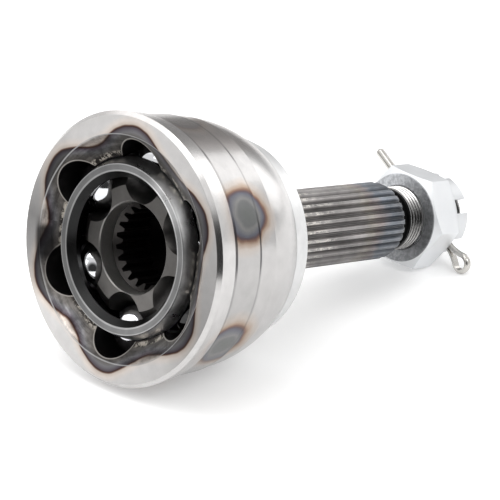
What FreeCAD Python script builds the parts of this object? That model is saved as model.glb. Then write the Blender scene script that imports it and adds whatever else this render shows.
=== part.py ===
import FreeCAD, Part
import math
import os

from FreeCAD import Vector

# Outer joint of a car's half shaft: a bell with a splined stub shaft, six balls in a cage,
# an inner race that takes the half shaft, and the castle nut and split pin of the hub end.
# Lengths are millimetres and angles degrees. +Y is the spin axis, from the open mouth to
# the nut, +Z is up, and the origin is the centre that the joint swings about.
# Angles about the spin axis turn from +X towards +Z.

# Balls and the tracks they roll in
BALL_COUNT = 6
BALL_DIAMETER = 16.67
PITCH_RADIUS = 27.5
TRACK_OFFSET = 4.0
FIRST_TRACK_ANGLE = 30.0
FULL_SWING = 42.0
OUTER_TRACK_CLEARANCE = 0.12
INNER_TRACK_CLEARANCE = 0.35
TRACK_END_MARGIN = 3.0
TRACK_MOUTH_ANGLE = 50.0

# Cage: a ring with spherical faces
CAGE_OUTER_RISE = 2.5
CAGE_WALL = 5.05
CAGE_HALF_WIDTH = 13.7
CAGE_LEAD_IN_DEPTH = 2.5
CAGE_LEAD_IN_RIM = 2.4
CAGE_REAR_CHAMFER = 1.0
WINDOW_SIDE_CLEARANCE = 0.35
WINDOW_HALF_LENGTH = 10.2
WINDOW_CORNER_RADIUS = 3.6
SPHERE_CLEARANCE = 0.15

# Inner race
RACE_FRONT_DEPTH = 8.6
RACE_REAR_DEPTH = 11.5
RACE_FACE_RADIUS = 19.8
RACE_FACE_CONE_LENGTH = 3.0
RACE_REAR_CHAMFER = 1.2
PILOT_DIAMETER = 29.0
PILOT_DEPTH = 5.8
BORE_EDGE_CHAMFER = 0.3
SHAFT_SPLINE_TEETH = 22
SHAFT_SPLINE_MAJOR_DIAMETER = 27.5
SHAFT_SPLINE_TOOTH_HEIGHT = 1.45

# Bell
BELL_WALL = 5.55
MOUTH_DEPTH = 14.7
MOUTH_LIP = 0.15
MOUTH_CONE_ANGLE = 56.7
COLLAR_RISE = 1.5
COLLAR_TAPER = 0.7
COLLAR_REAR_DEPTH = 7.0
COLLAR_EDGE_CHAMFER = 1.3
BOOT_SEAT_RAMP = 1.0
BOOT_SEAT_TAPER = 0.4
BOOT_SEAT_END = 6.3
BODY_STEP = 1.4
BODY_STEP_RAMP = 0.1
DOME_START = 13.6
DOME_DROP = 4.8
DOME_BULGE = 0.75
REAR_BAND_LENGTH = 8.5
REAR_BAND_TAPER = 3.0
FLOOR_CLEARANCE = 2.75
REAR_WALL = 11.1
CENTRE_DRILL_DIAMETER = 6.0
CENTRE_DRILL_DEPTH = 3.0

# Stub shaft
HUB_STACK = 85.4
SPLINE_STOP = 14.1
HUB_SPLINE_TEETH = 27
HUB_SPLINE_DIAMETER = 26.6
HUB_SPLINE_TOOTH_HEIGHT = 1.15
HUB_SPLINE_END_LENGTH = 1.8
HUB_SPLINE_END_DROP = 0.7
SHOULDER_FILLET = 1.5
FILLET_SINK = 0.05
UNDERCUT_DIAMETER = 20.0
UNDERCUT_LENGTH = 4.3
THREAD_DIAMETER = 22.0
THREAD_PITCH = 1.5
THREAD_PITCH_DIAMETER_DROP = 0.6495
THREAD_END_CHAMFER = 1.2
SHANK_TAIL = 7.5
SHAFT_CENTRE_DIAMETER = 5.0
SHAFT_CENTRE_DEPTH = 4.0

# Castle nut
NUT_ACROSS_FLATS = 32.0
NUT_HEX_LENGTH = 12.8
NUT_CROWN_DIAMETER = 28.4
NUT_CROWN_LENGTH = 8.5
NUT_CROWN_CHAMFER = 0.8
NUT_CORNER_ANGLE = 30.0
NUT_FACE_MARGIN = 0.9
NUT_SLOT_COUNT = 6
NUT_TURN = -3.0
NUT_THREAD_FIT = 0.1
NUT_COUNTERSINK = 0.8
NUT_SLOT_CLEARANCE = 2.1

# Split pin
PIN_DIAMETER = 2.9
PIN_SLIT = 0.2
PIN_HOLE_CLEARANCE = 0.15
PIN_FLOOR_GAP = 0.75
PIN_SLOT_INDEX = 2
PIN_TIP_REACH = 30.5
PIN_NECK_GAP = 0.2
PIN_EYE_RADIUS = 2.3
PIN_EYE_LENGTH = 12.0
PIN_TIP_CHAMFER = 0.7

# Shape of the spline teeth, as shares of one tooth's pitch
TIP_SHARE = 0.30
ROOT_SHARE = 0.26

# How far a cutting or joining solid runs past the face it meets
OVERRUN = 2.0

# Sizes that follow from the ones above
ball_radius = BALL_DIAMETER / 2
track_pitch = 360.0 / BALL_COUNT
track_radius = math.hypot(PITCH_RADIUS, TRACK_OFFSET)
rest_track_angle = math.degrees(math.atan2(TRACK_OFFSET, PITCH_RADIUS))
track_end_angle = rest_track_angle + FULL_SWING / 2 + TRACK_END_MARGIN
track_bottom_radius = PITCH_RADIUS + ball_radius + OUTER_TRACK_CLEARANCE

cage_outer_radius = PITCH_RADIUS + CAGE_OUTER_RISE
cage_inner_radius = cage_outer_radius - CAGE_WALL
land_radius = cage_outer_radius + SPHERE_CLEARANCE
race_radius = cage_inner_radius - SPHERE_CLEARANCE

race_rear_radius = math.sqrt(race_radius ** 2 - RACE_REAR_DEPTH ** 2)
swing = math.radians(FULL_SWING)
race_reach = race_rear_radius * math.sin(swing) + RACE_REAR_DEPTH * math.cos(swing)
floor_y = race_reach + FLOOR_CLEARANCE
shoulder_y = floor_y + REAR_WALL

boot_seat_radius = track_bottom_radius + BELL_WALL
collar_radius = boot_seat_radius + COLLAR_RISE
body_radius = boot_seat_radius - BODY_STEP
dome_end_radius = body_radius - DOME_DROP
shoulder_radius = dome_end_radius - REAR_BAND_TAPER
mouth_radius = track_bottom_radius + MOUTH_LIP

nut_face_y = shoulder_y + HUB_STACK
spline_end_y = nut_face_y - SPLINE_STOP
thread_start_y = spline_end_y + HUB_SPLINE_END_LENGTH + UNDERCUT_LENGTH
slot_floor_y = nut_face_y + NUT_HEX_LENGTH
pin_y = slot_floor_y + PIN_FLOOR_GAP + PIN_DIAMETER / 2
shank_end_y = pin_y + SHANK_TAIL
first_slot_angle = FIRST_TRACK_ANGLE + NUT_TURN
pin_angle = first_slot_angle + PIN_SLOT_INDEX * 360.0 / NUT_SLOT_COUNT
thread_radius = (THREAD_DIAMETER - THREAD_PITCH_DIAMETER_DROP * THREAD_PITCH) / 2

ORIGIN = Vector(0, 0, 0)
SPIN_AXIS = Vector(0, 1, 0)
ANGLE_AXIS = Vector(0, -1, 0)
TANGENT_AXIS = Vector(0, 0, 1)
LEG_AXIS = Vector(1, 0, 0)


def at(radius, y):
    """A point of a turned outline."""
    return Vector(radius, y, 0)


def line(start, end):
    return Part.LineSegment(start, end).toShape()


def arc(start, middle, end):
    return Part.Arc(start, middle, end).toShape()


def chain(points):
    """Straight edges through the points."""
    return [line(a, b) for a, b in zip(points, points[1:])]


def turned(edges):
    """The solid that a closed outline makes when it turns about the spin axis."""
    return Part.Face(Part.Wire(edges)).revolve(ORIGIN, SPIN_AXIS, 360)


def turned_polygon(points):
    return turned(chain(points + points[:1]))


def on_angle(shape, angle):
    """A copy of the shape, turned about the spin axis."""
    copy = shape.copy()
    copy.rotate(ORIGIN, ANGLE_AXIS, angle)
    return copy


def all_round(shape, count, first_angle):
    return [on_angle(shape, first_angle + index * 360.0 / count) for index in range(count)]


def sphere_radius_at(sphere_radius, y):
    """Distance from the spin axis of a sphere about the joint's centre, at height y."""
    return math.sqrt(sphere_radius ** 2 - y ** 2)


def toothed_bar(teeth, tip_radius, root_radius, start_y, end_y):
    """A bar with straight-flanked teeth along the spin axis."""
    pitch = 2 * math.pi / teeth
    points = []
    for tooth in range(teeth):
        middle = tooth * pitch
        for radius, offset in (
            (root_radius, -(1 - ROOT_SHARE) / 2),
            (tip_radius, -TIP_SHARE / 2),
            (tip_radius, TIP_SHARE / 2),
            (root_radius, (1 - ROOT_SHARE) / 2),
        ):
            angle = middle + offset * pitch
            points.append(Vector(radius * math.cos(angle), start_y, radius * math.sin(angle)))
    outline = Part.makePolygon(points + points[:1])
    return Part.Face(outline).extrude(Vector(0, end_y - start_y, 0))


def track_tool(centre_y, section_radius, start_angle, end_angle):
    """The bent round bar that a ball sweeps along one track, in the plane of +X."""
    centre = at(0, centre_y)
    middle = at(track_radius, centre_y)
    section = Part.Face(Part.Wire(Part.makeCircle(section_radius, middle, SPIN_AXIS)))
    section.rotate(centre, TANGENT_AXIS, start_angle)
    return section.revolve(centre, TANGENT_AXIS, end_angle - start_angle)


def outer_track_tool():
    """One track of the bell: open at the mouth and round at its inner end."""
    section_radius = ball_radius + OUTER_TRACK_CLEARANCE
    bar = track_tool(-TRACK_OFFSET, section_radius, -TRACK_MOUTH_ANGLE, track_end_angle)
    angle = math.radians(track_end_angle)
    end = at(track_radius * math.cos(angle), track_radius * math.sin(angle) - TRACK_OFFSET)
    return bar.fuse(Part.makeSphere(section_radius, end))


def inner_track_tool():
    """One track of the inner race, open at both faces."""
    section_radius = ball_radius + INNER_TRACK_CLEARANCE
    return track_tool(TRACK_OFFSET, section_radius, -TRACK_MOUTH_ANGLE, TRACK_MOUTH_ANGLE)


def mouth_lip_y():
    """Where the cone of the mouth meets the sphere that the cage rides on."""
    slope = math.tan(math.radians(MOUTH_CONE_ANGLE))
    a = slope ** 2 + 1
    b = -2 * (MOUTH_DEPTH + slope * mouth_radius)
    c = mouth_radius ** 2 + MOUTH_DEPTH ** 2 - land_radius ** 2
    return (-b - math.sqrt(b ** 2 - 4 * a * c)) / (2 * a) - MOUTH_DEPTH


def dome_middle(start, end):
    """A point of the dome's arc, halfway and bulged outwards."""
    chord = end - start
    outward = Vector(chord.y, -chord.x, 0).normalize()
    return (start + end) * 0.5 + outward * DOME_BULGE


def bell_blank():
    """The turned bell, closed at the shoulder and hollow from the mouth."""
    lip_y = mouth_lip_y()
    floor_edge = at(sphere_radius_at(land_radius, floor_y), floor_y)
    lip = at(sphere_radius_at(land_radius, lip_y), lip_y)
    drill_edge = at(CENTRE_DRILL_DIAMETER / 2, floor_y)
    drill_tip = at(0, floor_y + CENTRE_DRILL_DEPTH)
    dome_start = at(body_radius, DOME_START)
    dome_end = at(dome_end_radius, shoulder_y - REAR_BAND_LENGTH)
    collar = [
        lip,
        at(mouth_radius, -MOUTH_DEPTH),
        at(collar_radius - COLLAR_EDGE_CHAMFER, -MOUTH_DEPTH),
        at(collar_radius, COLLAR_EDGE_CHAMFER - MOUTH_DEPTH),
        at(collar_radius - COLLAR_TAPER, -COLLAR_REAR_DEPTH),
        at(boot_seat_radius, BOOT_SEAT_RAMP - COLLAR_REAR_DEPTH),
        at(boot_seat_radius - BOOT_SEAT_TAPER, BOOT_SEAT_END),
        at(body_radius, BOOT_SEAT_END + BODY_STEP_RAMP),
        dome_start,
    ]
    rear = [dome_end, at(shoulder_radius, shoulder_y), at(0, shoulder_y)]
    edges = [line(drill_tip, drill_edge), line(drill_edge, floor_edge)]
    edges.append(arc(floor_edge, at(land_radius, 0), lip))
    edges += chain(collar)
    edges.append(arc(dome_start, dome_middle(dome_start, dome_end), dome_end))
    edges += chain(rear + [drill_tip])
    return turned(edges)


def hub_spline():
    """The toothed length of the stub shaft, with a bevelled end."""
    tip_radius = HUB_SPLINE_DIAMETER / 2
    start_y = shoulder_y - OVERRUN
    end_y = spline_end_y + HUB_SPLINE_END_LENGTH
    teeth = toothed_bar(
        HUB_SPLINE_TEETH, tip_radius, tip_radius - HUB_SPLINE_TOOTH_HEIGHT, start_y, end_y
    )
    envelope = turned_polygon([
        at(0, start_y - OVERRUN),
        at(tip_radius + OVERRUN, start_y - OVERRUN),
        at(tip_radius + OVERRUN, spline_end_y - OVERRUN),
        at(tip_radius, spline_end_y),
        at(tip_radius - HUB_SPLINE_END_DROP, end_y),
        at(0, end_y),
    ])
    return teeth.common(envelope)


def shoulder_fillet():
    """The rounded corner between the shoulder and the root of the spline."""
    root_radius = HUB_SPLINE_DIAMETER / 2 - HUB_SPLINE_TOOTH_HEIGHT - FILLET_SINK
    outer = root_radius + SHOULDER_FILLET
    bend = SHOULDER_FILLET * (1 - math.sqrt(0.5))
    edges = chain([
        at(root_radius, shoulder_y + SHOULDER_FILLET),
        at(root_radius - OVERRUN, shoulder_y + SHOULDER_FILLET),
        at(root_radius - OVERRUN, shoulder_y - OVERRUN),
        at(outer, shoulder_y - OVERRUN),
        at(outer, shoulder_y),
    ])
    edges.append(arc(
        at(outer, shoulder_y),
        at(root_radius + bend, shoulder_y + bend),
        at(root_radius, shoulder_y + SHOULDER_FILLET),
    ))
    return turned(edges)


def threaded_end():
    """The undercut and the threaded length that the nut turns on, a cylinder on its pitch diameter."""
    start_y = spline_end_y + HUB_SPLINE_END_LENGTH
    slope = THREAD_END_CHAMFER
    return turned_polygon([
        at(0, start_y - OVERRUN),
        at(UNDERCUT_DIAMETER / 2, start_y - OVERRUN),
        at(UNDERCUT_DIAMETER / 2, thread_start_y),
        at(thread_radius, thread_start_y + thread_radius - UNDERCUT_DIAMETER / 2),
        at(thread_radius, shank_end_y - slope),
        at(thread_radius - slope, shank_end_y),
        at(SHAFT_CENTRE_DIAMETER / 2, shank_end_y),
        at(0, shank_end_y - SHAFT_CENTRE_DEPTH),
    ])


def pin_hole():
    """The cross hole for the split pin."""
    radius = PIN_DIAMETER / 2 + PIN_HOLE_CLEARANCE
    length = THREAD_DIAMETER + 2 * OVERRUN
    hole = Part.makeCylinder(radius, length, Vector(-length / 2, pin_y, 0), Vector(1, 0, 0))
    return on_angle(hole, pin_angle)


def make_outer_race():
    blank = bell_blank().fuse([hub_spline(), shoulder_fillet(), threaded_end()])
    tracks = all_round(outer_track_tool(), BALL_COUNT, FIRST_TRACK_ANGLE)
    return blank.cut(tracks + [pin_hole()]).removeSplitter()


def make_cage():
    """A ring between two spheres, with a lead-in at the mouth side and one window per ball."""
    rim_radius = sphere_radius_at(cage_outer_radius, CAGE_HALF_WIDTH)
    lead_in_y = CAGE_LEAD_IN_DEPTH - CAGE_HALF_WIDTH
    lead_in = at(sphere_radius_at(cage_inner_radius, lead_in_y), lead_in_y)
    rear_y = CAGE_HALF_WIDTH - CAGE_REAR_CHAMFER
    rear = at(sphere_radius_at(cage_inner_radius, rear_y), rear_y)
    edges = [
        arc(at(rim_radius, -CAGE_HALF_WIDTH), at(cage_outer_radius, 0), at(rim_radius, CAGE_HALF_WIDTH)),
        line(at(rim_radius, CAGE_HALF_WIDTH), at(rear.x, CAGE_HALF_WIDTH)),
        line(at(rear.x, CAGE_HALF_WIDTH), rear),
        arc(rear, at(cage_inner_radius, 0), lead_in),
        line(lead_in, at(rim_radius - CAGE_LEAD_IN_RIM, -CAGE_HALF_WIDTH)),
        line(at(rim_radius - CAGE_LEAD_IN_RIM, -CAGE_HALF_WIDTH), at(rim_radius, -CAGE_HALF_WIDTH)),
    ]
    windows = all_round(window_tool(), BALL_COUNT, FIRST_TRACK_ANGLE)
    return turned(edges).cut(windows)


def window_tool():
    """A round-cornered bar along +X that cuts one window."""
    half_width = ball_radius + WINDOW_SIDE_CLEARANCE
    start = cage_inner_radius / 2
    depth = cage_outer_radius + OVERRUN - start
    bar = Part.makeBox(
        depth, 2 * half_width, 2 * WINDOW_HALF_LENGTH, Vector(start, -half_width, -WINDOW_HALF_LENGTH)
    )
    long_edges = [edge for edge in bar.Edges if abs(edge.tangentAt(edge.FirstParameter).x) > 0.5]
    return bar.makeFillet(WINDOW_CORNER_RADIUS, long_edges)


def make_inner_race():
    """A ball-shaped ring with six tracks, bored and splined for the half shaft."""
    cone_y = RACE_FACE_CONE_LENGTH - RACE_FRONT_DEPTH
    front = at(sphere_radius_at(race_radius, cone_y), cone_y)
    rear_y = RACE_REAR_DEPTH - RACE_REAR_CHAMFER
    rear = at(sphere_radius_at(race_radius, rear_y), rear_y)
    minor_radius = SHAFT_SPLINE_MAJOR_DIAMETER / 2 - SHAFT_SPLINE_TOOTH_HEIGHT
    core = minor_radius - OVERRUN
    edges = [arc(front, at(race_radius, 0), rear)]
    edges += chain([
        rear,
        at(race_rear_radius - RACE_REAR_CHAMFER, RACE_REAR_DEPTH),
        at(core, RACE_REAR_DEPTH),
        at(core, -RACE_FRONT_DEPTH),
        at(RACE_FACE_RADIUS, -RACE_FRONT_DEPTH),
        front,
    ])
    tracks = all_round(inner_track_tool(), BALL_COUNT, FIRST_TRACK_ANGLE)
    return turned(edges).cut(tracks + [race_bore(), shaft_spline()])


def race_bore():
    """The smooth pilot bore behind the front face, and the bevel in front of the teeth."""
    pilot_radius = PILOT_DIAMETER / 2
    pilot_end_y = PILOT_DEPTH - RACE_FRONT_DEPTH
    bevel = pilot_radius - SHAFT_SPLINE_MAJOR_DIAMETER / 2 + SHAFT_SPLINE_TOOTH_HEIGHT
    mouth = pilot_radius + BORE_EDGE_CHAMFER
    return turned_polygon([
        at(0, -RACE_FRONT_DEPTH - OVERRUN),
        at(mouth + OVERRUN, -RACE_FRONT_DEPTH - OVERRUN),
        at(mouth, -RACE_FRONT_DEPTH),
        at(pilot_radius, BORE_EDGE_CHAMFER - RACE_FRONT_DEPTH),
        at(pilot_radius, pilot_end_y),
        at(pilot_radius - bevel, pilot_end_y + bevel),
        at(0, pilot_end_y + bevel),
    ])


def shaft_spline():
    """The toothed hole for the half shaft."""
    major_radius = SHAFT_SPLINE_MAJOR_DIAMETER / 2
    minor_radius = major_radius - SHAFT_SPLINE_TOOTH_HEIGHT
    start_y = PILOT_DEPTH - RACE_FRONT_DEPTH
    end_y = RACE_REAR_DEPTH + OVERRUN
    return toothed_bar(SHAFT_SPLINE_TEETH, major_radius, minor_radius, start_y, end_y)


def make_ball(index):
    angle = math.radians(FIRST_TRACK_ANGLE + index * track_pitch)
    centre = Vector(PITCH_RADIUS * math.cos(angle), 0, PITCH_RADIUS * math.sin(angle))
    return Part.makeSphere(ball_radius, centre)


def hexagon(across_flats, start_y, length):
    """A six-sided bar, its corners halfway between the slots of the nut."""
    corner_radius = across_flats / math.sqrt(3)
    corners = []
    for corner in range(6):
        angle = math.radians(NUT_TURN + corner * 60.0)
        corners.append(Vector(corner_radius * math.cos(angle), start_y, corner_radius * math.sin(angle)))
    return Part.Face(Part.makePolygon(corners + corners[:1])).extrude(Vector(0, length, 0))


def nut_envelope():
    """The turned shape of the hexagon: both ends coned so that only the corners are cut."""
    face_radius = NUT_ACROSS_FLATS / 2 - NUT_FACE_MARGIN
    outer_radius = NUT_ACROSS_FLATS / math.sqrt(3) + OVERRUN
    drop = (outer_radius - face_radius) * math.tan(math.radians(NUT_CORNER_ANGLE))
    return turned_polygon([
        at(0, nut_face_y),
        at(face_radius, nut_face_y),
        at(outer_radius, nut_face_y + drop),
        at(outer_radius, slot_floor_y - drop),
        at(face_radius, slot_floor_y),
        at(0, slot_floor_y),
    ])


def nut_crown():
    radius = NUT_CROWN_DIAMETER / 2
    end_y = slot_floor_y + NUT_CROWN_LENGTH
    return turned_polygon([
        at(0, slot_floor_y - OVERRUN),
        at(radius, slot_floor_y - OVERRUN),
        at(radius, end_y - NUT_CROWN_CHAMFER),
        at(radius - NUT_CROWN_CHAMFER, end_y),
        at(0, end_y),
    ])


def nut_bore():
    radius = thread_radius + NUT_THREAD_FIT
    end_y = slot_floor_y + NUT_CROWN_LENGTH
    wide = radius + NUT_COUNTERSINK
    return turned_polygon([
        at(0, nut_face_y - OVERRUN),
        at(wide + OVERRUN, nut_face_y - OVERRUN),
        at(wide, nut_face_y),
        at(radius, nut_face_y + NUT_COUNTERSINK),
        at(radius, end_y - NUT_COUNTERSINK),
        at(wide, end_y),
        at(wide + OVERRUN, end_y + OVERRUN),
        at(0, end_y + OVERRUN),
    ])


def nut_slots():
    """The slots of the crown, one bar for each pair that faces the other across the nut."""
    width = PIN_DIAMETER + NUT_SLOT_CLEARANCE
    radius = NUT_CROWN_DIAMETER / 2 + OVERRUN
    depth = NUT_CROWN_LENGTH + OVERRUN
    half_bar = Part.makeBox(radius, depth, width, Vector(0, slot_floor_y, -width / 2))
    return all_round(half_bar, NUT_SLOT_COUNT, first_slot_angle)


def make_castle_nut():
    hexagonal = hexagon(NUT_ACROSS_FLATS, nut_face_y, NUT_HEX_LENGTH).common(nut_envelope())
    body = hexagonal.fuse(nut_crown())
    return body.cut([nut_bore()] + nut_slots()).removeSplitter()


def pin_section(middle, bulge):
    """Half a disc of the pin's wire, with its flat along +Z and its round side towards the bulge."""
    radius = PIN_DIAMETER / 2
    side = Vector(0, 0, radius)
    wire = Part.Wire([
        line(middle - side, middle + side),
        arc(middle + side, middle + bulge * radius, middle - side),
    ])
    return Part.Face(wire)


def make_split_pin():
    """Half-round wire bent double: two straight legs and an eye, drawn along +X and then turned."""
    flat_y = PIN_SLIT / 2
    neck_x = NUT_CROWN_DIAMETER / 2 + PIN_NECK_GAP
    eye_outer = PIN_EYE_RADIUS + PIN_DIAMETER / 2
    eye_x = neck_x + PIN_EYE_LENGTH - eye_outer
    run = eye_x - neck_x
    throat_radius = (run ** 2 + PIN_SLIT ** 2 / 4 - PIN_EYE_RADIUS ** 2) / (2 * PIN_EYE_RADIUS - PIN_SLIT)
    throat_centre = Vector(neck_x, flat_y + throat_radius, 0)
    throat_angle = math.degrees(math.atan2(run, throat_centre.y))
    section = pin_section(Vector(neck_x, flat_y, 0), SPIN_AXIS)
    leg = section.extrude(Vector(-neck_x - PIN_TIP_REACH, 0, 0))
    throat = section.revolve(throat_centre, TANGENT_AXIS, throat_angle)
    eye_centre = Vector(eye_x, 0, 0)
    far_end = pin_section(Vector(eye_x + PIN_EYE_RADIUS, 0, 0), LEG_AXIS)
    eye = far_end.revolve(eye_centre, TANGENT_AXIS, 90 + throat_angle)
    half = leg.fuse([throat, eye])
    other = half.mirror(ORIGIN, SPIN_AXIS)
    bevelled = half.fuse(other).common(pin_envelope(neck_x))
    bevelled.rotate(ORIGIN, LEG_AXIS, 90)
    bevelled.translate(Vector(0, pin_y, 0))
    return on_angle(bevelled, pin_angle + 180)


def pin_envelope(neck_x):
    """A turned shape that holds the whole pin and bevels the tips of its legs."""
    radius = PIN_DIAMETER / 2 + PIN_SLIT / 2
    wide = PIN_EYE_LENGTH
    tip_x = -PIN_TIP_REACH
    far_x = neck_x + PIN_EYE_LENGTH + OVERRUN
    outline = [
        Vector(tip_x, 0, 0),
        Vector(tip_x, radius - PIN_TIP_CHAMFER, 0),
        Vector(tip_x + PIN_TIP_CHAMFER, radius, 0),
        Vector(tip_x + PIN_TIP_CHAMFER, wide, 0),
        Vector(far_x, wide, 0),
        Vector(far_x, 0, 0),
    ]
    face = Part.Face(Part.Wire(chain(outline + outline[:1])))
    return face.revolve(ORIGIN, LEG_AXIS, 360)


def main():
    os.makedirs("parts", exist_ok=True)
    pieces = {
        "outer_race": make_outer_race(),
        "inner_race": make_inner_race(),
        "cage": make_cage(),
        "castle_nut": make_castle_nut(),
        "split_pin": make_split_pin(),
    }
    for index in range(BALL_COUNT):
        pieces["ball_%d" % (index + 1)] = make_ball(index)
    for name, shape in pieces.items():
        solids = shape.Solids
        print(name, len(solids), "solid", round(shape.Volume, 1), "mm3", shape.isValid())
        solids[0].exportStep("parts/%s.step" % name)


main()
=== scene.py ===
import math

import bpy
from mathutils import Matrix, Vector


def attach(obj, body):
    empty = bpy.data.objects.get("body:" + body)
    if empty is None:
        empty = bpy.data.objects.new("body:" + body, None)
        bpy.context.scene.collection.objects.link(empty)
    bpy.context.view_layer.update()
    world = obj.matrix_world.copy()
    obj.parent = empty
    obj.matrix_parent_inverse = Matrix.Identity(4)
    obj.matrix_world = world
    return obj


# The row frame: +Y is the spin axis, from the open mouth to the nut, and +Z is up.
# Lengths are millimetres and angles are degrees.
# Blender's lengths, and names that end in _M, are metres.
# Angles round the spin axis run from +X towards +Z.
# A point's reach is its distance from the joint's centre, which is the frame's origin.
MM = 0.001

# Camera: a long lens that looks at the joint from in front, right and above
CAMERA_AZIMUTH = 40.7
CAMERA_ELEVATION = 14.5
CAMERA_ROLL = 9.24
CAMERA_DISTANCE = 780.7
CAMERA_AIM = (22.5, 20.6, 3.6)
CAMERA_NEAR_M = 0.05
CAMERA_FAR_M = 20.0
LENS = 180.0
SENSOR = 36.0

# The bell and its ball tracks
TRACK_COUNT = 6
TRACK_PITCH = 360.0 / TRACK_COUNT
FIRST_TRACK_ANGLE = 30.0
TRACK_RADIUS = 8.455
TRACK_PATH_RADIUS = 27.79
TRACK_CENTRE_OFFSET = 4.0
MOUTH_Y = -14.7
CONE_END_REACH = 38.9
LAND_REACH = 30.35
COLLAR_REAR_Y = -7.0
SEAT_END_Y = 6.35
REAR_BAND_Y = 28.6
SHOULDER_Y = 37.1

# The stub shaft, the nut and the split pin
SPLINE_TEETH = 27
SPLINE_PITCH = 360.0 / SPLINE_TEETH
SPLINE_END_Y = 110.2
UNDERCUT_START_Y = 112.0
UNDERCUT_END_Y = 116.2
NUT_FACE_Y = 122.5
NUT_SLOT_Y = 135.3
PIN_Y = 137.5
PIN_ANGLE = 147.0
PIN_HOLE_REACH = 2.3

# The cage and the inner race
CAGE_RIM_Y = -13.6
CAGE_RIM_INNER_RADIUS = 24.2
CAGE_RIM_OUTER_RADIUS = 26.3
CAGE_BORE_REACH = 28.0
RACE_FACE_Y = -8.5
PILOT_RADIUS = 14.5
PILOT_END_Y = -2.7
RACE_PATH_RADIUS = 24.77
RACE_TRACK_RADIUS = 8.685

# The stub's thread: where its two visible stretches run, and the ridge's section, steps and ends
FRONT_THREAD = (116.3, 122.9)
REAR_THREAD = (135.5, 143.8)
THREAD_PITCH = 1.5
THREAD_ROOT = 10.38
THREAD_CREST = 11.0
THREAD_FOOT_HALF = 0.66
THREAD_CREST_HALF = 0.13
THREAD_STEPS = 72
THREAD_LEAST_HEIGHT = 0.08
THREAD_RUN_OUT = THREAD_PITCH / 6
THREAD_HOLE_FADE = 0.6

# The floor reaches this far each way. Its glow is what the camera and polished metal see of it.
FLOOR_HALF_M = 3.0
FLOOR_ALBEDO = 0.94
FLOOR_ROUGHNESS = 0.7
FLOOR_GLOW = 0.24
STEEPEST_FLOOR = 30.0
FLOOR_TILT_STEPS = 40

# The studio's even light, and its darker and brighter parts: direction, inner and outer angle, change
WORLD_LEVEL = 0.88
WORLD_ZONES = [
    ((-0.62, 0.70, 0.36), 16, 33, -0.55),
    ((0.64, -0.73, 0.10), 13, 32, -0.84),
    ((-0.45, -0.32, 0.80), 22, 44, 0.9),
]

# Soft boxes: name, direction from the joint, width and height in metres, radiance
LAMP_DISTANCE_M = 1.2
LAMP_TARGET_M = (0.0, 0.03, 0.0)
LAMPS = [
    ("back_high", (0.06, 0.84, 0.50), (0.5, 0.7), 0.98),
    ("front_high", (0.02, -0.92, 0.40), (0.4, 0.4), 1.6),
    ("top_front", (0.0, -0.5, 0.85), (0.8, 0.3), 1.8),
    ("right_high", (0.7, -0.2, 0.68), (0.5, 0.4), 3.0),
]

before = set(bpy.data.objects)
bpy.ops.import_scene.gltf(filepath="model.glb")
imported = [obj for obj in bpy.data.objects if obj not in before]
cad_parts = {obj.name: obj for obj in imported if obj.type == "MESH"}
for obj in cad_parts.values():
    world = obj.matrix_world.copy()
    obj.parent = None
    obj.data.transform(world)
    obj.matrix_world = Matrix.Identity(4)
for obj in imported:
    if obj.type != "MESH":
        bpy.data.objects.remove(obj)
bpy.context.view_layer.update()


def rgb(red, green, blue):
    """A colour given as it looks on a screen, from 0 to 255, for a node's input."""
    linear = []
    for level in (red, green, blue):
        share = level / 255
        linear.append(share / 12.92 if share <= 0.04045 else ((share + 0.055) / 1.055) ** 2.4)
    return (*linear, 1.0)


def grey(level):
    return rgb(level, level, level)


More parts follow.
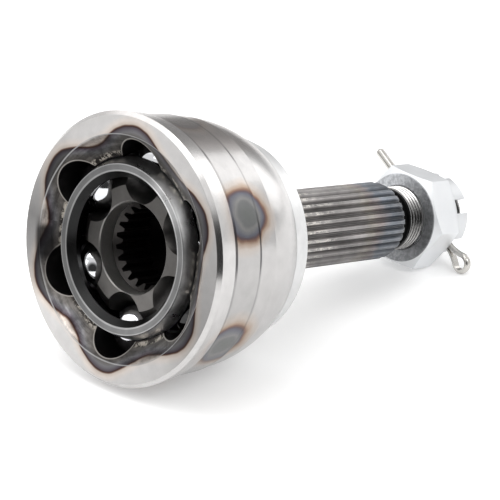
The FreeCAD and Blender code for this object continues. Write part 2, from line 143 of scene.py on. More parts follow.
class Nodes:
    """Short ways to add nodes to a tree. A value is a number, a colour or another node's output."""

    def __init__(self, tree):
        self.tree = tree

    def node(self, kind, inputs=(), **settings):
        made = self.tree.nodes.new(kind)
        for name, value in settings.items():
            setattr(made, name, value)
        for index, value in enumerate(inputs):
            self.give(made.inputs[index], value)
        return made

    def give(self, socket, value):
        if isinstance(value, bpy.types.NodeSocket):
            self.tree.links.new(value, socket)
        elif value is not None:
            socket.default_value = value

    def math(self, operation, *values):
        return self.node("ShaderNodeMath", values, operation=operation).outputs[0]

    def chain(self, operation, values):
        result, *others = values
        for value in others:
            result = self.math(operation, result, value)
        return result

    def total(self, *values):
        return self.chain("ADD", values)

    def product(self, *values):
        return self.chain("MULTIPLY", values)

    def minus(self, value, other):
        return self.math("SUBTRACT", value, other)

    def absolute(self, value):
        """The value without its sign."""
        return self.math("ABSOLUTE", value)

    def larger(self, one, other):
        """The larger of two values."""
        return self.math("MAXIMUM", one, other)

    def length(self, *sides):
        return self.math("SQRT", self.total(*[self.product(side, side) for side in sides]))

    def scaled(self, value, low, high, start=0.0, end=1.0, kind="LINEAR"):
        """Takes the value from low..high to start..end, and stops there."""
        inputs = [value, low, high, start, end]
        return self.node("ShaderNodeMapRange", inputs, interpolation_type=kind).outputs[0]

    def step(self, value, low, high):
        """0 below low and 1 above high, with a smooth rise between."""
        return self.scaled(value, low, high, kind="SMOOTHSTEP")

    def below(self, value, low, high):
        """1 below low and 0 above high, with a smooth fall between."""
        return self.scaled(value, low, high, 1.0, 0.0, kind="SMOOTHSTEP")

    def between(self, value, low, high, soft):
        """1 between low and high, 0 outside, with soft edges."""
        rise = self.step(value, low - soft, low + soft)
        return self.minus(rise, self.step(value, high - soft, high + soft))

    def varied(self, noise, low, high):
        """Spreads a noise, which mostly lies between 0.3 and 0.7, over low..high."""
        return self.scaled(noise, 0.3, 0.7, low, high)

    def mix(self, share, low, high):
        made = self.node("ShaderNodeMix", data_type="RGBA")
        self.give(made.inputs["Factor"], share)
        self.give(made.inputs[6], low)
        self.give(made.inputs[7], high)
        return made.outputs[2]

    def blend(self, share, low, high):
        made = self.node("ShaderNodeMix", data_type="FLOAT")
        self.give(made.inputs["Factor"], share)
        self.give(made.inputs[2], low)
        self.give(made.inputs[3], high)
        return made.outputs[0]

    def vector(self, x, y, z):
        return self.node("ShaderNodeCombineXYZ", [x, y, z]).outputs[0]

    def dim(self, colour, share, where=None):
        """A colour times a number, everywhere or only where a mask is 1."""
        made = self.node("ShaderNodeVectorMath", operation="SCALE")
        self.give(made.inputs[0], colour)
        self.give(made.inputs["Scale"], share if where is None else self.blend(where, 1.0, share))
        return made.outputs[0]

    def times(self, one, other):
        """One colour times another."""
        factors = [colour[:3] if isinstance(colour, tuple) else colour for colour in (one, other)]
        return self.node("ShaderNodeVectorMath", factors, operation="MULTIPLY").outputs[0]

    def noise(self, vector, scale, detail=3.0, roughness=0.5):
        made = self.node("ShaderNodeTexNoise")
        self.give(made.inputs["Vector"], vector)
        made.inputs["Scale"].default_value = scale
        made.inputs["Detail"].default_value = detail
        made.inputs["Roughness"].default_value = roughness
        return made.outputs["Fac"]

    def ramp(self, value, stops):
        """A colour ramp through (value, colour) stops."""
        low, high = stops[0][0], stops[-1][0]
        made = self.node("ShaderNodeValToRGB", [self.scaled(value, low, high)])
        elements = made.color_ramp.elements
        for index, (place, colour) in enumerate(stops):
            position = (place - low) / (high - low)
            element = elements[index] if index < 2 else elements.new(position)
            element.position = position
            element.color = colour
        return made.outputs["Color"]

    def shade(self, value, shares):
        """A grey that changes through (value, share) stops."""
        return self.ramp(value, [(place, (share, share, share, 1.0)) for place, share in shares])


class Shader(Nodes):
    """One material and the nodes that make it, with the place on the part in millimetres.

    The place itself is in metres, so the scale of a noise over it is per metre.
    """

    def __init__(self, name):
        self.material = bpy.data.materials.new(name)
        self.material.use_nodes = True
        super().__init__(self.material.node_tree)
        self.surface = self.tree.nodes["Principled BSDF"]
        self.place = self.node("ShaderNodeTexCoord").outputs["Object"]
        parts = self.node("ShaderNodeSeparateXYZ", [self.place]).outputs
        self.x, self.y, self.z = [self.product(parts[name], 1 / MM) for name in "XYZ"]
        self.r = self.length(self.x, self.z)
        self.reach = self.length(self.x, self.z, self.y)
        self.angle = self.product(self.math("ARCTAN2", self.z, self.x), 180.0 / math.pi)

    def tone(self, shares):
        """A grey that changes around the spin axis, through (angle, share) stops from -180 to 180."""
        return self.shade(self.angle, shares)

    def track_phase(self):
        """Angle from the nearest track's middle, half a pitch at most either way."""
        shifted = self.total(self.angle, 360.0 - FIRST_TRACK_ANGLE + TRACK_PITCH / 2)
        return self.minus(self.math("FLOORED_MODULO", shifted, TRACK_PITCH), TRACK_PITCH / 2)

    def out_and_across(self, phase):
        """The radius as seen along a track's middle plane, and the distance to that plane."""
        turn = self.product(phase, math.pi / 180.0)
        return [self.product(self.math(name, turn), self.r) for name in ("COSINE", "SINE")]

    def beyond_track(self, phase):
        """How far a point lies outside the nearest of the bell's tracks."""
        out, across = self.out_and_across(phase)
        along = self.minus(self.length(out, self.total(self.y, TRACK_CENTRE_OFFSET)), TRACK_PATH_RADIUS)
        return self.minus(self.length(along, across), TRACK_RADIUS)

    def turned_lines(self, scale):
        """Fine rings, as a lathe tool leaves them. The scale is per millimetre."""
        rings = self.vector(self.product(self.r, scale), self.product(self.y, scale), 0.0)
        return self.noise(rings, scale=1.0, detail=4.0, roughness=0.7)

    def bump(self, height, strength, distance):
        made = self.node("ShaderNodeBump")
        made.inputs["Strength"].default_value = strength
        made.inputs["Distance"].default_value = distance * MM
        self.give(made.inputs["Height"], height)
        self.give(self.surface.inputs["Normal"], made.outputs["Normal"])

    def finish(self, colour, roughness, metallic=1.0, anisotropy=0.0):
        self.give(self.surface.inputs["Base Color"], colour)
        self.give(self.surface.inputs["Roughness"], roughness)
        self.give(self.surface.inputs["Metallic"], metallic)
        if anisotropy:
            # A quarter turn lays the highlight across the lathe's rings
            self.surface.inputs["Anisotropic"].default_value = anisotropy
            self.surface.inputs["Anisotropic Rotation"].default_value = 0.25
            tangent = self.node("ShaderNodeTangent", direction_type="RADIAL", axis="Y")
            self.give(self.surface.inputs["Tangent"], tangent.outputs["Tangent"])
        return self.material


WHITE = (1.0, 1.0, 1.0, 1.0)
STEEL = rgb(205, 203, 202)

# Heat tint of the mouth: a lobed line that bulges over each track, and the colours across it from inside
LOBE_LINE_RADIUS = 36.5
LOBE_HEIGHT = 2.85
LOBE_WANDER = 1.6
FACE_TINT = [
    (-6.0, rgb(88, 83, 78)),
    (-3.0, rgb(106, 103, 101)),
    (-2.0, rgb(120, 119, 121)),
    (-1.1, rgb(102, 98, 104)),
    (-0.5, rgb(84, 74, 78)),
    (-0.18, rgb(56, 42, 40)),
    (0.12, rgb(104, 80, 70)),
    (0.5, rgb(196, 184, 174)),
    (1.6, rgb(212, 204, 198)),
    (3.4, STEEL),
    (4.0, STEEL),
]

# Painted light and shade on the mouth's face around the spin axis,
# standing in for how its brushed rings catch the light
FACE_TONE = [
    (-180, 0.3), (-158, 0.52), (-140, 1.0), (-110, 0.92), (-85, 0.82), (-50, 0.7), (-22, 0.37),
    (0, 0.45), (20, 0.53), (45, 0.79), (90, 0.92), (130, 0.82), (158, 0.54), (180, 0.3),
]

# Painted light and shade on the tinted steel inside the lobed line, around the spin axis:
# on the face, and on the cone
INSIDE_FACE_TONE = [
    (-180, 0.42), (-150, 0.45), (-120, 0.85), (-90, 0.95), (-50, 0.8), (-20, 0.75), (25, 0.62),
    (60, 0.8), (90, 0.92), (120, 0.5), (150, 0.42), (180, 0.42),
]
CONE_TONE = [
    (-180, 0.7), (-152, 1.5), (-122, 1.6), (-100, 0.8), (-50, 0.8), (0, 0.8), (60, 0.62),
    (100, 0.5), (125, 0.55), (150, 0.72), (180, 0.7),
]

# Heat spots on the bell's outside, one over each track: their middle and half sizes, and the colours
# from the middle outwards, as a share of the half size
SPOT_TURN = 0.8
SPOT_Y = 1.2
SPOT_HALF_WIDTH = 10.1
SPOT_HALF_LENGTH = 10.9
SPOT_WANDER = 0.5
SPOT_TINT = [
    (0.0, rgb(136, 139, 136)),
    (0.40, rgb(140, 141, 141)),
    (0.50, rgb(160, 159, 158)),
    (0.60, rgb(146, 146, 150)),
    (0.70, rgb(126, 127, 138)),
    (0.77, rgb(118, 102, 106)),
    (0.84, rgb(156, 124, 108)),
    (0.92, rgb(198, 176, 158)),
    (1.06, rgb(212, 202, 194)),
    (1.30, STEEL),
]
FAINT_SPOT = rgb(206, 198, 194)
REAR_BAND_STEEL = grey(238)
# Painted shade for the bell's corners and edges
PAINTED_SHADE_MARK = rgb(48, 46, 50)

# Painted light and shade on the bell's outside, around the spin axis
OUTSIDE_TONE = [
    (-180, 1.0), (-90, 0.84), (-50, 0.76), (-10, 0.74), (10, 0.78), (26, 0.86), (42, 1.02), (62, 0.96),
    (72, 0.84), (180, 0.95),
]

# Inside the mouth, with painted highlights for the track edges and the cone's rim, and painted shade for
# the tracks and the hollow behind them
BURR_SHADE = rgb(34, 31, 30)
BURR_SPECKLE = rgb(160, 154, 145)
TRACK_EDGE_HIGHLIGHT = rgb(164, 160, 155)
CONE_RIM_HIGHLIGHT = grey(176)
TRACK_PAINTED_SHADE = rgb(34, 32, 32)
HOLLOW_PAINTED_SHADE = rgb(22, 21, 21)
SMEAR = rgb(26, 25, 27)
SMEAR_ANGLE = -168.0

# The stub shaft: its colours along the spin axis, and painted light and shade from the middle of
# a tooth to the middle of a groove, and around the spin axis
STUB_TINT = [
    (36.0, rgb(182, 178, 172)),
    (56.0, rgb(170, 166, 162)),
    (64.0, rgb(150, 147, 146)),
    (88.0, rgb(148, 145, 144)),
    (93.0, rgb(148, 144, 138)),
    (97.0, rgb(142, 135, 134)),
    (101.0, rgb(122, 127, 134)),
    (110.0, rgb(122, 124, 128)),
    (116.0, rgb(124, 125, 128)),
]
TOOTH_TONE = [
    (0.0, 0.95), (0.1, 1.0), (0.14, 1.55), (0.18, 1.2), (0.25, 1.0), (0.36, 0.85), (0.42, 0.36),
    (0.5, 0.2),
]
STUB_TONE = [
    (-180, 0.9), (-90, 0.55), (-60, 0.56), (-30, 0.7), (0, 1.02), (40, 1.1), (90, 1.0), (180, 0.9),
]
# A painted glint for the tops of the teeth
TOOTH_GLINT = rgb(244, 240, 232)
STUB_END_STEEL = grey(170)
UNDERCUT_SHADE = grey(14)


def beyond_lobed_line(shader, phase, wobble):
    """How far a point of the mouth lies outside the heat tint's lobed line."""
    lobe = shader.math("COSINE", shader.product(phase, 2.0 * math.pi / TRACK_PITCH))
    line = shader.total(shader.product(lobe, LOBE_HEIGHT), LOBE_LINE_RADIUS)
    return shader.total(shader.minus(shader.r, line), shader.product(wobble, LOBE_WANDER))


def face_colour(shader, tint, beyond_line):
    """The flat face of the mouth, with painted light and shade around the spin axis."""
    tone = shader.tone(FACE_TONE)
    within = shader.below(beyond_line, -0.45, -0.15)
    tone = shader.mix(within, tone, shader.times(tone, shader.tone(INSIDE_FACE_TONE)))
    return shader.times(tint, tone)


def spotted_steel(shader, phase, wobble):
    """Turned steel with a heat spot over each track."""
    around = shader.product(shader.total(phase, SPOT_TURN), math.pi / 180.0, shader.r)
    side = shader.math("DIVIDE", around, SPOT_HALF_WIDTH)
    ahead = shader.math("DIVIDE", shader.minus(shader.y, SPOT_Y), SPOT_HALF_LENGTH)
    outward = shader.total(shader.length(side, ahead), shader.product(wobble, SPOT_WANDER))
    colour = shader.ramp(outward, SPOT_TINT)

    # Painted shade darkens the lower half of each spot, and the spot on top is faint
    painted_low_shade = shader.scaled(side, -0.65, 0.3, 0.8, 1.0)
    colour = shader.dim(colour, painted_low_shade, where=shader.below(outward, 0.75, 1.1))
    on_top = shader.between(shader.angle, 62.0, 118.0, soft=6.0)
    return shader.mix(shader.product(on_top, 0.66), colour, FAINT_SPOT)


def painted_shade_marks(shader):
    """Where painted shade and a painted dark reflection lie: in the corners beside the boot's seat, and
    on the edges of the bell.
    """
    behind_collar = shader.between(shader.y, COLLAR_REAR_Y - 0.15, COLLAR_REAR_Y + 1.85, soft=0.15)
    before_body = shader.between(shader.y, SEAT_END_Y - 1.2, SEAT_END_Y - 0.5, soft=0.12)
    corners = shader.larger(behind_collar, before_body)
    chamfer = shader.between(shader.y, MOUTH_Y + 0.12, MOUTH_Y + 1.35, soft=0.1)
    rear_line = shader.between(shader.y, REAR_BAND_Y - 0.2, REAR_BAND_Y + 0.15, soft=0.08)
    low_side = shader.between(shader.angle, 5.0, 27.0, soft=5.0)
    high_side = shader.between(shader.angle, 55.0, 62.0, soft=3.0)
    sides = shader.larger(low_side, shader.product(high_side, 0.7))
    marks = shader.product(shader.math("MULTIPLY_ADD", sides, 0.6, 0.24), corners)
    marks = shader.larger(marks, shader.product(low_side, chamfer, 0.38))
    return shader.larger(marks, shader.product(rear_line, 0.45))


def outside_colour(shader, phase, wobble, rear_band):
    """The collar, the boot's seat, the body, the rear band and the shoulder, with painted light and
    shade around the spin axis.
    """
    collar = shader.below(shader.y, COLLAR_REAR_Y - 0.6, COLLAR_REAR_Y + 1.4)
    seat = shader.between(shader.y, COLLAR_REAR_Y + 0.5, SEAT_END_Y, soft=0.3)
    shoulder = shader.step(shader.y, SHOULDER_Y - 0.15, SHOULDER_Y - 0.05)
    colour = spotted_steel(shader, phase, wobble)
    colour = shader.mix(shader.product(collar, 0.7), colour, STEEL)
    colour = shader.dim(colour, 1.14, where=collar)
    colour = shader.dim(colour, 0.9, where=seat)
    colour = shader.mix(rear_band, colour, REAR_BAND_STEEL)
    colour = shader.dim(colour, 0.84, where=shoulder)
    # Painted shade in the corners beside the seat and along the bell's edges
    colour = shader.mix(painted_shade_marks(shader), colour, PAINTED_SHADE_MARK)
    return shader.times(colour, shader.tone(OUTSIDE_TONE))


def hollow_colour(shader, phase, tint):
    """The mouth's tinted cone with rough bright burrs and painted light and shade around the axis,
    painted highlights on the track edges and the rim, and painted shade in the tracks and behind.
    """
    soot = shader.noise(shader.place, scale=260.0, detail=5.0, roughness=0.65)
    around, outward = shader.product(shader.angle, 0.035), shader.product(shader.reach, 0.55)
    streaks = shader.noise(shader.vector(around, outward, 0.0), scale=1.0, roughness=0.6)
    colour = shader.dim(tint, shader.scaled(soot, 0.35, 0.65, 0.5, 1.06))
    colour = shader.times(colour, shader.tone(CONE_TONE))
    colour = shader.dim(colour, shader.scaled(streaks, 0.4, 0.6, 0.62, 1.12))

    # Burrs where the cone meets the sphere that guides the cage
    burr = shader.between(shader.reach, LAND_REACH + 0.3, LAND_REACH + 2.0, soft=0.5)
    speckle = shader.step(shader.noise(shader.place, scale=520.0, detail=4.0, roughness=0.7), 0.46, 0.57)
    colour = shader.mix(shader.product(burr, 0.7), colour, BURR_SHADE)
    colour = shader.mix(shader.product(burr, speckle), colour, BURR_SPECKLE)

    # Painted highlights along the track edges and round the cone's rim, and painted shade in the tracks
    # and the hollow behind
    off_track = shader.beyond_track(phase)
    track_edge_highlight = shader.between(off_track, 0.06, 0.42, soft=0.1)
    colour = shader.mix(shader.product(track_edge_highlight, 0.55), colour, TRACK_EDGE_HIGHLIGHT)
    rim = shader.between(shader.reach, CONE_END_REACH - 0.42, CONE_END_REACH + 0.2, soft=0.08)
    colour = shader.mix(shader.product(rim, 0.55), colour, CONE_RIM_HIGHLIGHT)
    colour = shader.mix(shader.step(off_track, 0.01, 0.05), TRACK_PAINTED_SHADE, colour)
    on_cone = shader.step(shader.reach, LAND_REACH + 0.1, LAND_REACH + 0.5)
    return shader.mix(on_cone, HOLLOW_PAINTED_SHADE, colour)


def smear(shader, wobble):
    """A dark patch with a wandering edge on the mouth's left side."""
    from_opposite = shader.absolute(shader.minus(shader.angle, SMEAR_ANGLE + 180.0))
    off_middle = shader.absolute(shader.minus(from_opposite, 180.0))
    beside = shader.below(shader.total(off_middle, shader.product(wobble, 16.0)), 6.0, 15.0)
    round_mouth = shader.between(shader.r, 31.5, 37.2, soft=1.0)
    return shader.product(beside, round_mouth, shader.below(shader.y, MOUTH_Y + 2.7, MOUTH_Y + 5.7))


def stub_colour(shader, wobble):
    """A dark spline with painted light and shade and painted glints on its teeth, faint heat colours at
    its end, and a black undercut.
    """
    along = shader.total(shader.y, shader.product(wobble, 14.0))
    colour = shader.times(shader.ramp(along, STUB_TINT), shader.tone(STUB_TONE))
    turns = shader.math("DIVIDE", shader.total(shader.angle, 360.0 + SPLINE_PITCH / 2), SPLINE_PITCH)
    across_tooth = shader.absolute(shader.minus(shader.math("FRACT", turns), 0.5))
    colour = shader.times(colour, shader.shade(across_tooth, TOOTH_TONE))

    # Each tooth has its own streaks along the shaft
    tooth = shader.product(shader.math("FLOOR", turns), 3.7)
    streak_place = shader.vector(tooth, shader.product(shader.y, 0.05), 0.0)
    streaks = shader.noise(streak_place, scale=1.0, roughness=0.6)
    colour = shader.dim(colour, shader.varied(streaks, 0.6, 1.4))

    # Towards the bell, the tops of the teeth carry painted glints in spots
    stretches = ((shader.x, 1.3), (shader.y, 0.5), (shader.z, 1.3))
    glint_place = shader.vector(*[shader.product(length, stretch) for length, stretch in stretches])
    glint = shader.step(shader.noise(glint_place, scale=1.0, detail=5.0, roughness=0.8), 0.46, 0.56)
    tooth_top = shader.below(across_tooth, 0.15, 0.2)
    glint_fade = shader.scaled(shader.total(shader.y, shader.product(wobble, 30.0)), 60.0, 72.0, 0.85, 0.06)
    colour = shader.mix(shader.product(glint, tooth_top, glint_fade), colour, TOOTH_GLINT)

    colour = shader.mix(shader.step(shader.y, SPLINE_END_Y - 0.2, SPLINE_END_Y), colour, STUB_END_STEEL)
    undercut = shader.between(shader.y, UNDERCUT_START_Y, UNDERCUT_END_Y, soft=0.15)
    return shader.mix(undercut, colour, UNDERCUT_SHADE)


def bell_material():
    shader = Shader("bell_steel_turned")
    phase = shader.track_phase()
    wobble = shader.minus(shader.noise(shader.place, scale=90.0, detail=2.0), 0.5)
    beyond_line = beyond_lobed_line(shader, phase, wobble)
    tint = shader.ramp(beyond_line, FACE_TINT)

    on_face = shader.below(shader.y, MOUTH_Y + 0.05, MOUTH_Y + 0.15)
    inside = shader.below(shader.reach, CONE_END_REACH - 0.05, CONE_END_REACH + 0.05)
    rear_band = shader.step(shader.y, REAR_BAND_Y - 0.1, REAR_BAND_Y + 0.1)
    on_stub = shader.step(shader.y, SHOULDER_Y + 0.05, SHOULDER_Y + 0.15)

    outside = outside_colour(shader, phase, wobble, rear_band)
    colour = shader.mix(on_face, outside, face_colour(shader, tint, beyond_line))
    colour = shader.mix(inside, colour, hollow_colour(shader, phase, tint))
    colour = shader.mix(shader.product(smear(shader, wobble), 0.85), colour, SMEAR)
    colour = shader.mix(on_stub, colour, stub_colour(shader, wobble))
    patches = shader.noise(shader.place, scale=220.0, detail=4.0, roughness=0.6)
    colour = shader.dim(colour, shader.varied(patches, 0.94, 1.06))

    rings = shader.turned_lines(7.0)
    roughness = shader.blend(on_face, shader.blend(rings, 0.17, 0.25), shader.blend(rings, 0.24, 0.34))
    roughness = shader.blend(inside, roughness, 0.42)
    roughness = shader.blend(rear_band, roughness, 0.4)
    roughness = shader.blend(on_stub, roughness, 0.48)
    shader.bump(rings, strength=0.2, distance=0.02)
    return shader.finish(colour, roughness, anisotropy=0.7)


# Painted light and shade on the cage's sphere and its rim, around the spin axis
CAGE_TONE = [
    (-180, 0.75), (-120, 0.7), (-90, 1.2), (-72, 2.7), (-56, 3.1), (-38, 3.0), (-20, 1.9), (0, 0.85),
    (15, 1.2), (32, 2.3), (52, 2.2), (68, 1.2), (90, 1.1), (115, 1.0), (150, 0.75), (180, 0.75),
]
RIM_TONE = [
    (-180, 0.62), (-120, 0.8), (-90, 1.1), (-60, 1.2), (-30, 1.05), (0, 0.9), (28, 1.1), (44, 2.1),
    (60, 2.3), (74, 1.2), (110, 0.9), (150, 0.78), (180, 0.62),
]
CAGE_SHARE = 0.36
# A painted highlight for the cage's sphere
CAGE_PAINTED_HIGHLIGHT = grey(226)
CAGE_BORE = grey(42)
CAGE_RIM = grey(110)
CAGE_RIM_EDGE_HIGHLIGHT = grey(150)


def cage_material():
    shader = Shader("cage_steel_satin")
    colour = shader.dim(shader.tone(CAGE_TONE), CAGE_SHARE)

    # A painted highlight on the sphere, high on the right: a pale, less metallic patch that scatters the
    # light
    painted_highlight = shader.between(shader.angle, 30.0, 52.0, soft=14.0)
    painted_highlight = shader.product(painted_highlight, shader.below(shader.y, CAGE_RIM_Y + 1.0, CAGE_RIM_Y + 3.6))
    colour = shader.mix(painted_highlight, colour, CAGE_PAINTED_HIGHLIGHT)
    bore = shader.below(shader.reach, CAGE_BORE_REACH, CAGE_BORE_REACH + 0.2)
    colour = shader.mix(bore, colour, CAGE_BORE)

    # The rim faces the mouth, and its two edges carry painted highlights
    rim = shader.below(shader.y, CAGE_RIM_Y, CAGE_RIM_Y + 0.05)
    rim_tone = shader.tone(RIM_TONE)
    colour = shader.mix(rim, colour, shader.times(rim_tone, CAGE_RIM))
    outer_edge = shader.step(shader.r, CAGE_RIM_OUTER_RADIUS, CAGE_RIM_OUTER_RADIUS + 0.15)
    inner_edge = shader.between(shader.r, CAGE_RIM_INNER_RADIUS, CAGE_RIM_INNER_RADIUS + 0.55, soft=0.08)
    edges = shader.larger(outer_edge, inner_edge)
    edges = shader.product(edges, shader.below(shader.y, CAGE_RIM_Y + 0.2, CAGE_RIM_Y + 0.4))
    colour = shader.mix(edges, colour, shader.times(rim_tone, CAGE_RIM_EDGE_HIGHLIGHT))

    patches = shader.noise(shader.place, scale=180.0, detail=4.0, roughness=0.6)
    colour = shader.dim(colour, shader.varied(patches, 0.85, 1.15))
    shader.bump(shader.turned_lines(9.0), strength=0.2, distance=0.02)
    metallic = shader.blend(painted_highlight, 1.0, 0.4)
    return shader.finish(colour, shader.varied(patches, 0.26, 0.36), metallic)


# Painted light and shade on the inner race's end face around the spin axis
RACE_TONE = [
    (-180, 0.55), (-140, 0.7), (-90, 1.25), (-50, 1.2), (-10, 0.8), (30, 0.72), (80, 0.7), (130, 0.6),
    (180, 0.55),
]
RACE_STEEL = rgb(98, 96, 94)
# Painted light for the pilot bore, painted shade for the teeth behind it, and painted highlights for the
# edges
PILOT_BORE_LIGHT = rgb(190, 188, 185)
RACE_TEETH_SHADE = rgb(58, 56, 55)
RACE_BORE_EDGE_HIGHLIGHT = rgb(122, 120, 118)
RACE_TRACK_EDGE_HIGHLIGHT = rgb(128, 126, 124)


def race_material():
    shader = Shader("race_steel_ground")
    colour = shader.times(shader.tone(RACE_TONE), RACE_STEEL)

    # The pilot bore is painted bright, as painted light, and the teeth behind it dark, as painted shade
    pilot = shader.below(shader.r, PILOT_RADIUS, PILOT_RADIUS + 0.15)
    teeth = shader.product(pilot, shader.step(shader.y, PILOT_END_Y - 0.4, PILOT_END_Y - 0.2))
    colour = shader.mix(pilot, colour, PILOT_BORE_LIGHT)
    colour = shader.mix(teeth, colour, RACE_TEETH_SHADE)

    # Painted highlights on the edges: round the bore, and where the tracks meet the end face
    bore_edge_highlight = shader.between(shader.r, PILOT_RADIUS - 0.1, PILOT_RADIUS + 0.35, soft=0.05)
    bore_edge_highlight = shader.product(bore_edge_highlight, shader.below(shader.y, RACE_FACE_Y + 0.1, RACE_FACE_Y + 0.3))
    colour = shader.mix(bore_edge_highlight, colour, RACE_BORE_EDGE_HIGHLIGHT)
    out, across = shader.out_and_across(shader.track_phase())
    along = shader.minus(out, RACE_PATH_RADIUS)
    off_track = shader.minus(shader.length(along, across), RACE_TRACK_RADIUS)
    track_edge_highlight = shader.between(off_track, 0.12, 0.38, soft=0.06)
    on_face = shader.below(shader.y, RACE_FACE_Y + 0.05, RACE_FACE_Y + 0.2)
    colour = shader.mix(shader.product(track_edge_highlight, on_face), colour, RACE_TRACK_EDGE_HIGHLIGHT)

    patches = shader.noise(shader.place, scale=180.0, detail=4.0, roughness=0.6)
    colour = shader.dim(colour, shader.varied(patches, 0.85, 1.15))
    rings = shader.turned_lines(9.0)
    shader.bump(rings, strength=0.25, distance=0.03)
    return shader.finish(colour, shader.varied(rings, 0.33, 0.43), anisotropy=0.4)


# The darker and the lighter colour of each finish below
PLATE = (rgb(226, 228, 231), rgb(242, 243, 244))
WASHER_PLATE = (rgb(164, 166, 170), rgb(206, 208, 211))
PIN_STEEL = (rgb(178, 175, 170), rgb(214, 212, 208))
BALL_STEEL = (rgb(214, 215, 218), rgb(226, 227, 229))
# For the thread, the darker colour is painted shade in its roots and the lighter a painted highlight on
# its crests
THREAD_STEEL = (rgb(70, 68, 68), rgb(244, 242, 240))
# Painted shade on the outer side of some balls
BALL_PAINTED_SHADE = grey(62)

# Painted light and shade on the nut's washer face and on the thread, around the spin axis
WASHER_TONE = [
    (-180, 0.9), (-90, 0.6), (-40, 0.4), (0, 0.38), (40, 0.5), (75, 0.85), (110, 1.05), (150, 1.0),
    (180, 0.9),
]
THREAD_TONE = [
    (-180, 0.8), (-110, 0.5), (-75, 0.3), (-50, 0.5), (-25, 0.6), (-5, 0.3), (22, 0.22), (42, 0.6),
    (58, 1.0), (120, 1.0), (180, 0.8),
]


def nut_material():
    """Zinc plate: even on the flats, a little darker on the crown, mottled and with painted light and
    shade on the washer face.
    """
    shader = Shader("nut_zinc_plate")
    mottle = shader.noise(shader.place, scale=700.0, detail=5.0, roughness=0.75)
    clouds = shader.noise(shader.place, scale=120.0)
    plate = shader.mix(clouds, *PLATE)
    plate = shader.dim(plate, shader.scaled(shader.y, NUT_SLOT_Y - 2.0, NUT_SLOT_Y, 1.0, 0.8))
    washer = shader.mix(shader.step(mottle, 0.38, 0.62), *WASHER_PLATE)
    washer = shader.times(washer, shader.tone(WASHER_TONE))
    colour = shader.mix(shader.below(shader.y, NUT_FACE_Y + 0.1, NUT_FACE_Y + 0.25), plate, washer)
    shader.bump(mottle, strength=0.25, distance=0.05)
    return shader.finish(colour, shader.varied(clouds, 0.34, 0.46), metallic=0.6)


def pin_material():
    shader = Shader("pin_steel_drawn")
    clouds = shader.noise(shader.place, scale=400.0, roughness=0.6)
    shader.bump(clouds, strength=0.2, distance=0.04)
    return shader.finish(shader.mix(clouds, *PIN_STEEL), shader.varied(clouds, 0.16, 0.26))


def ball_material():
    """Polished steel, with painted shade on the outer side of the balls on the right."""
    shader = Shader("ball_steel_polished")
    clouds = shader.noise(shader.place, scale=300.0, detail=2.0)
    painted_shade = shader.between(shader.angle, -55.0, 48.0, soft=4.0)
    painted_shade = shader.product(painted_shade, shader.step(shader.reach, 28.4, 29.2))
    colour = shader.mix(painted_shade, shader.mix(clouds, *BALL_STEEL), BALL_PAINTED_SHADE)
    return shader.finish(colour, shader.varied(clouds, 0.04, 0.09))


def thread_material():
    shader = Shader("thread_steel_cut")
    # Painted shade in the thread's roots and a painted highlight on its crests
    crest = shader.step(shader.r, THREAD_ROOT + 0.1, THREAD_CREST)
    colour = shader.times(shader.mix(crest, *THREAD_STEEL), shader.tone(THREAD_TONE))
    return shader.finish(colour, shader.varied(shader.noise(shader.place, scale=500.0), 0.2, 0.3))


def cast_finish(node, material):
    """Gives a CAD node its material."""
    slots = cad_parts[node].data.materials
    slots.clear()
    slots.append(material)


def thread_ring(angle, y, height):
    """The four corners of the thread's section at an angle, in metres."""
    crest = THREAD_ROOT + (THREAD_CREST - THREAD_ROOT) * height
    section = [
        (THREAD_ROOT, -THREAD_FOOT_HALF), (crest, -THREAD_CREST_HALF),
        (crest, THREAD_CREST_HALF), (THREAD_ROOT, THREAD_FOOT_HALF),
    ]
    turn = math.radians(angle)
    cosine, sine = math.cos(turn), math.sin(turn)
    return [(r * cosine * MM, (y + offset) * MM, r * sine * MM) for r, offset in section]


def thread_height(angle, y, start, end):
    """1 along the thread, falling to 0 at its ends and beside the split pin's hole."""
    run_out = min(y - start, end - y) / THREAD_RUN_OUT
    turn = math.radians(angle - PIN_ANGLE)
    beside = math.hypot(THREAD_CREST * math.sin(turn), y - PIN_Y)
    hole = (beside - PIN_HOLE_REACH) / THREAD_HOLE_FADE
    return max(0.0, min(1.0, run_out, hole))


def thread_runs(start, end):
    """The unbroken stretches of a thread, each a list of its sections' corners."""
    count = int((end - start) / THREAD_PITCH * THREAD_STEPS)
    runs = [[]]
    for index in range(count + 1):
        y = start + (end - start) * index / count
        angle = 360.0 * y / THREAD_PITCH
        height = thread_height(angle, y, start, end)
        if height > THREAD_LEAST_HEIGHT:
            runs[-1].append(thread_ring(angle, y, height))
        elif runs[-1]:
            runs.append([])
    return [run for run in runs if len(run) > 1]


def add_thread(name, start, end):
    """A helical ridge on the stub's plain cylinder, closed at its ends."""
    vertices = []
    faces = []
    for run in thread_runs(start, end):
        first = len(vertices)
        for ring in run:
            base = len(vertices)
            vertices += ring
            if base > first:
                for corner in range(4):
                    after = (corner + 1) % 4
                    faces.append((base - 4 + corner, base - 4 + after, base + after, base + corner))
        faces.append((first + 3, first + 2, first + 1, first))
        faces.append((base, base + 1, base + 2, base + 3))
    mesh = bpy.data.meshes.new(name)
    mesh.from_pydata(vertices, [], faces)
    mesh.update()
    piece = bpy.data.objects.new(name, mesh)
    bpy.context.scene.collection.objects.link(piece)
    mesh.materials.append(thread_material())
    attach(piece, "outer_race")


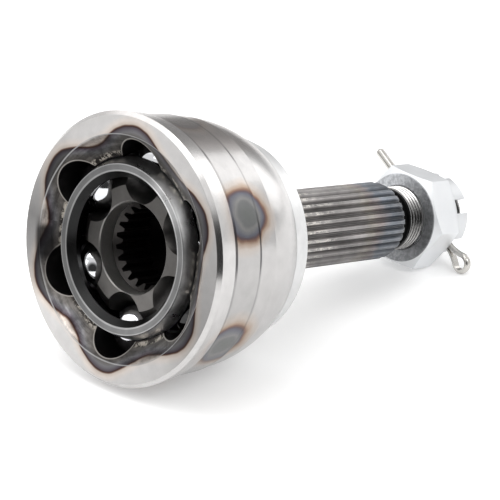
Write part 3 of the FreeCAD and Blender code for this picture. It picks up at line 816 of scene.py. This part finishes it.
def add_camera():
    azimuth = math.radians(CAMERA_AZIMUTH)
    elevation = math.radians(CAMERA_ELEVATION)
    roll = math.radians(CAMERA_ROLL)
    back = Vector((
        math.sin(azimuth) * math.cos(elevation),
        -math.cos(azimuth) * math.cos(elevation),
        math.sin(elevation),
    ))
    level = Vector((math.cos(azimuth), math.sin(azimuth), 0.0))
    right = level * math.cos(roll) + back.cross(level) * math.sin(roll)
    up = back.cross(right)
    data = bpy.data.cameras.new("camera")
    data.lens = LENS
    data.sensor_width = SENSOR
    data.clip_start = CAMERA_NEAR_M
    data.clip_end = CAMERA_FAR_M
    camera = bpy.data.objects.new("camera", data)
    bpy.context.scene.collection.objects.link(camera)
    turn = Matrix((right, up, back)).transposed().to_4x4()
    camera.matrix_world = Matrix.Translation((Vector(CAMERA_AIM) + back * CAMERA_DISTANCE) * MM) @ turn
    bpy.context.scene.camera = camera


def floor_normal(tilt):
    """Straight up from a floor that rises towards +Y at a slope in radians."""
    return Vector((0.0, -math.sin(tilt), math.cos(tilt)))


def lowest_point(names, tilt):
    """Height of the lowest point of some CAD nodes above a floor through the origin, in metres."""
    normal = floor_normal(tilt)
    return min(vertex.co.dot(normal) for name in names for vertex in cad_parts[name].data.vertices)


def floor_tilt():
    """The slope, in radians, at which the bell's collar and the split pin both touch the floor."""
    low, high = 0.0, math.radians(STEEPEST_FLOOR)
    for _ in range(FLOOR_TILT_STEPS):
        middle = (low + high) / 2
        if lowest_point(["outer_race"], middle) < lowest_point(["split_pin"], middle):
            low = middle
        else:
            high = middle
    return (low + high) / 2


def seen_directly(nodes):
    """1 for what the camera, polished metal and glass see, 0 for the light on the object."""
    path = nodes.node("ShaderNodeLightPath").outputs
    seen = nodes.larger(path["Is Camera Ray"], path["Is Glossy Ray"])
    return nodes.larger(seen, path["Is Transmission Ray"])


def floor_material():
    material = bpy.data.materials.new("floor_white")
    material.use_nodes = True
    nodes = Nodes(material.node_tree)
    surface = material.node_tree.nodes["Principled BSDF"]
    surface.inputs["Base Color"].default_value = (FLOOR_ALBEDO, FLOOR_ALBEDO, FLOOR_ALBEDO, 1.0)
    surface.inputs["Roughness"].default_value = FLOOR_ROUGHNESS
    surface.inputs["Emission Color"].default_value = WHITE
    nodes.give(surface.inputs["Emission Strength"], nodes.product(seen_directly(nodes), FLOOR_GLOW))
    return material


def add_floor():
    tilt = floor_tilt()
    height = lowest_point(["outer_race", "split_pin", "castle_nut"], tilt)
    half = FLOOR_HALF_M
    corners = [(-half, -half, 0), (half, -half, 0), (half, half, 0), (-half, half, 0)]
    mesh = bpy.data.meshes.new("floor")
    mesh.from_pydata(corners, [], [(0, 1, 2, 3)])
    mesh.materials.append(floor_material())
    floor = bpy.data.objects.new("floor", mesh)
    bpy.context.scene.collection.objects.link(floor)
    floor.rotation_euler = (tilt, 0.0, 0.0)
    floor.location = floor_normal(tilt) * height


def add_world():
    """An even white studio, with a few darker and brighter parts for the metal to reflect."""
    world = bpy.data.worlds.new("studio")
    world.use_nodes = True
    bpy.context.scene.world = world
    nodes = Nodes(world.node_tree)
    sky = world.node_tree.nodes["Background"]
    toward = nodes.node("ShaderNodeTexCoord").outputs["Generated"]
    level = WORLD_LEVEL
    for direction, inner, outer, change in WORLD_ZONES:
        middle = Vector(direction).normalized()
        dot = nodes.node("ShaderNodeVectorMath", [toward, middle], operation="DOT_PRODUCT")
        cosine = dot.outputs["Value"]
        share = nodes.step(cosine, math.cos(math.radians(outer)), math.cos(math.radians(inner)))
        level = nodes.math("MULTIPLY_ADD", share, change, level)
    camera_ray = nodes.node("ShaderNodeLightPath").outputs["Is Camera Ray"]
    nodes.give(sky.inputs["Strength"], nodes.blend(camera_ray, level, 1.0))
    sky.inputs["Color"].default_value = WHITE


def add_lamp(name, direction, size, radiance):
    """A soft box that faces the joint from a direction, as bright as a surface of that radiance."""
    data = bpy.data.lights.new(name, "AREA")
    data.shape = "RECTANGLE"
    data.size, data.size_y = size
    data.energy = radiance * math.pi * size[0] * size[1]
    lamp = bpy.data.objects.new(name, data)
    bpy.context.scene.collection.objects.link(lamp)
    target = Vector(LAMP_TARGET_M)
    lamp.location = target + Vector(direction).normalized() * LAMP_DISTANCE_M
    lamp.rotation_mode = "QUATERNION"
    lamp.rotation_quaternion = (target - lamp.location).to_track_quat("-Z", "Y")


cast_finish("outer_race", bell_material())
cast_finish("inner_race", race_material())
cast_finish("cage", cage_material())
cast_finish("castle_nut", nut_material())
cast_finish("split_pin", pin_material())
ball_finish = ball_material()
for ball_index in range(TRACK_COUNT):
    cast_finish("ball_%d" % (ball_index + 1), ball_finish)

add_thread("thread_front", *FRONT_THREAD)
add_thread("thread_rear", *REAR_THREAD)

add_camera()
add_floor()
add_world()
for lamp_row in LAMPS:
    add_lamp(*lamp_row)
bpy.context.scene.view_settings.view_transform = "Standard"
